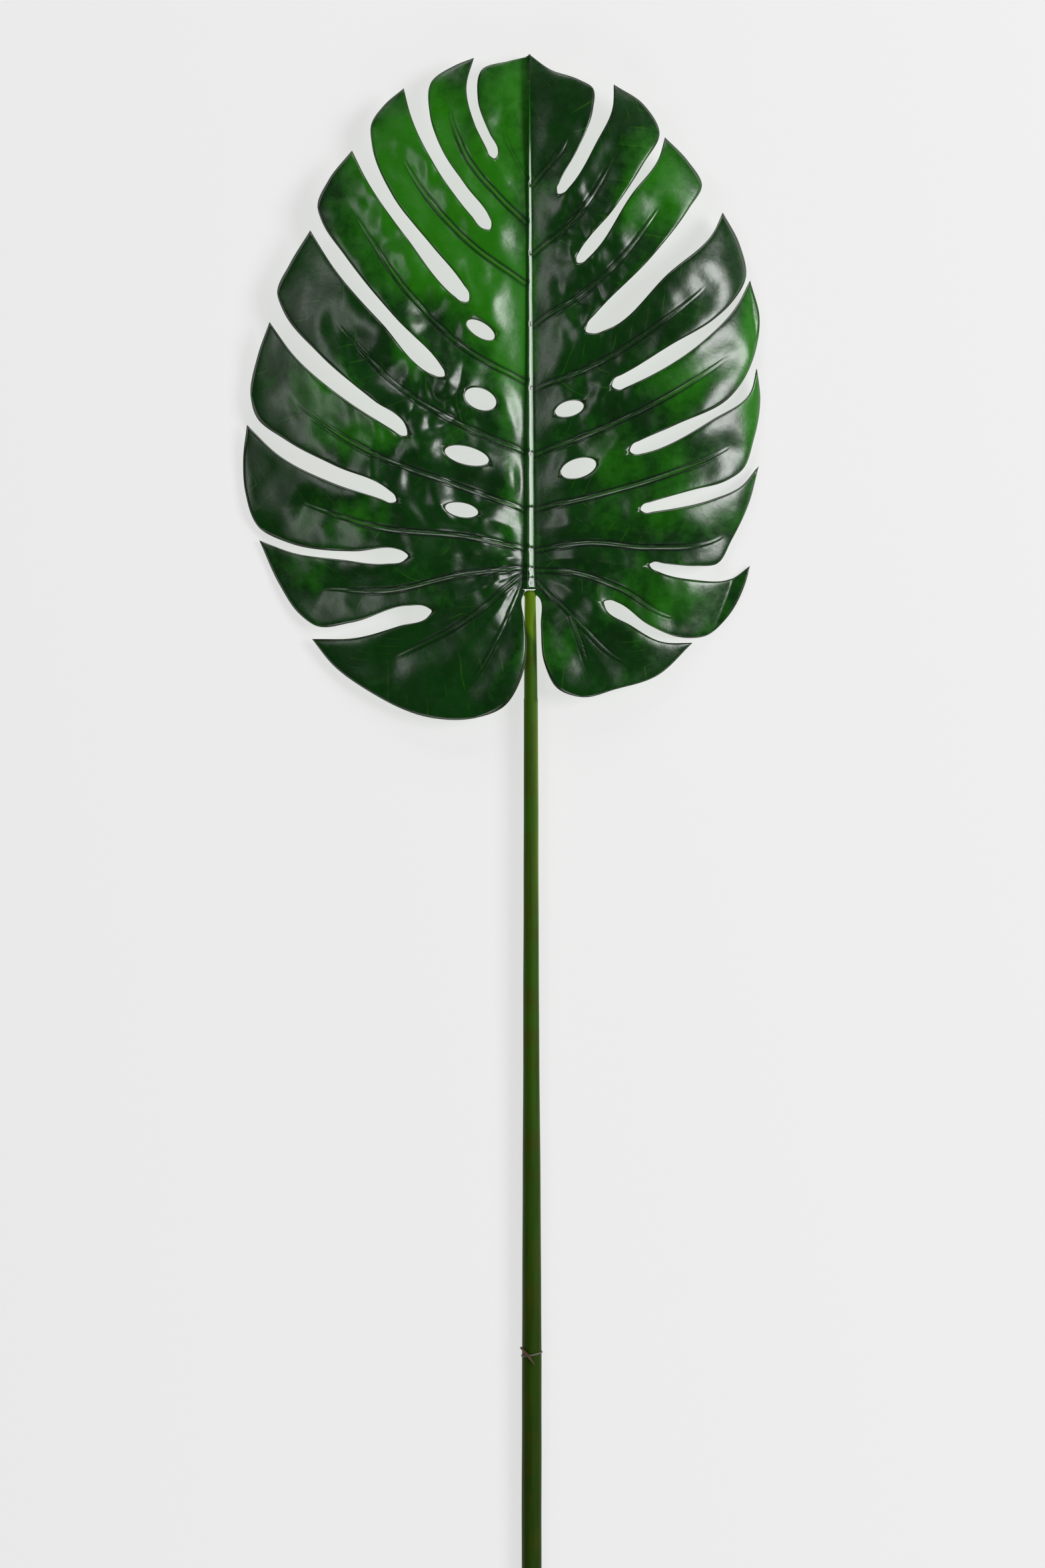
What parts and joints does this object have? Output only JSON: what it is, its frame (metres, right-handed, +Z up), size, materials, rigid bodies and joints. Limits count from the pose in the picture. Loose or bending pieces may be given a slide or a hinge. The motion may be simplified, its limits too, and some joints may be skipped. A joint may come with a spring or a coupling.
{
  "type": "monstera leaf",
  "caption": "Glossy split monstera leaf with oval holes on a long cut stem, lying face up on a flat surface.",
  "frame": {"origin": "under the middle of the whole leaf and stem, on the surface that they lie on", "axes": "+Y from the stem's cut end to the leaf's apex, +X to the right of the face, +Z up out of the face"},
  "size_m": [0.2686, 0.8001, 0.0254],
  "materials": {
    "leaf_film": "glossy moulded green film, mottled, lighter on the left",
    "midrib_film": "glossy moulded rib",
    "stem_sleeve": "satin olive green, lime green at the top",
    "tie_thread": "dull brown thread"
  },
  "bodies": {
    "root": {"leaf_blade": "leaf_film", "midrib": "midrib_film", "stem": "stem_sleeve", "tie": "tie_thread"}
  },
  "joints": []
}
